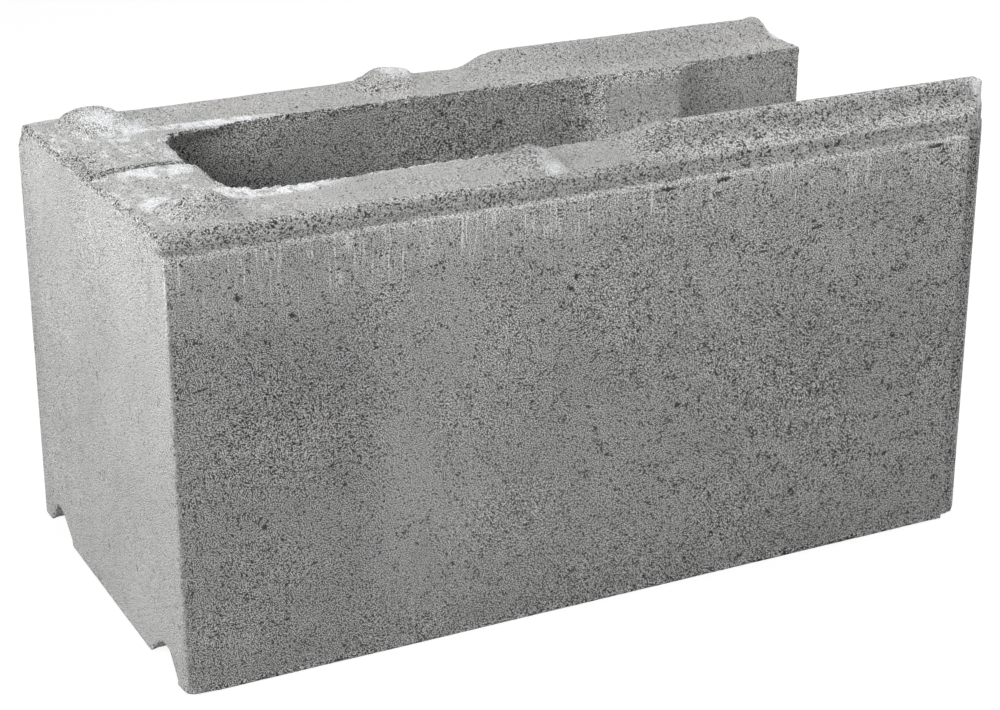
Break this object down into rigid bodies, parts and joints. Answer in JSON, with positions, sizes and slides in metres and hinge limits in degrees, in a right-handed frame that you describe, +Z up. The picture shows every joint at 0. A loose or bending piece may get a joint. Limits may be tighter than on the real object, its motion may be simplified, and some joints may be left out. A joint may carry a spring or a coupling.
{
  "type": "concrete formwork end block",
  "caption": "Hollow U-shaped concrete wall block with a closed end, a low inner web, V-joint rebates and tongue-and-groove joints, stacked dry and filled with concrete.",
  "frame": {"origin": "centre of the bounding box on the plane of the bed face, the floor that the block lies on", "axes": "+Z up as laid; +X along the course, the closed end at -X and the open end with the end tongue at +X; Y across the wall, the shell with the end tongue at -Y"},
  "size_m": [0.514, 0.256, 0.2645],
  "materials": {
    "concrete": "matt dry-cast concrete, finely pitted"
  },
  "bodies": {
    "root": {"formwork_block": "concrete"}
  },
  "joints": []
}
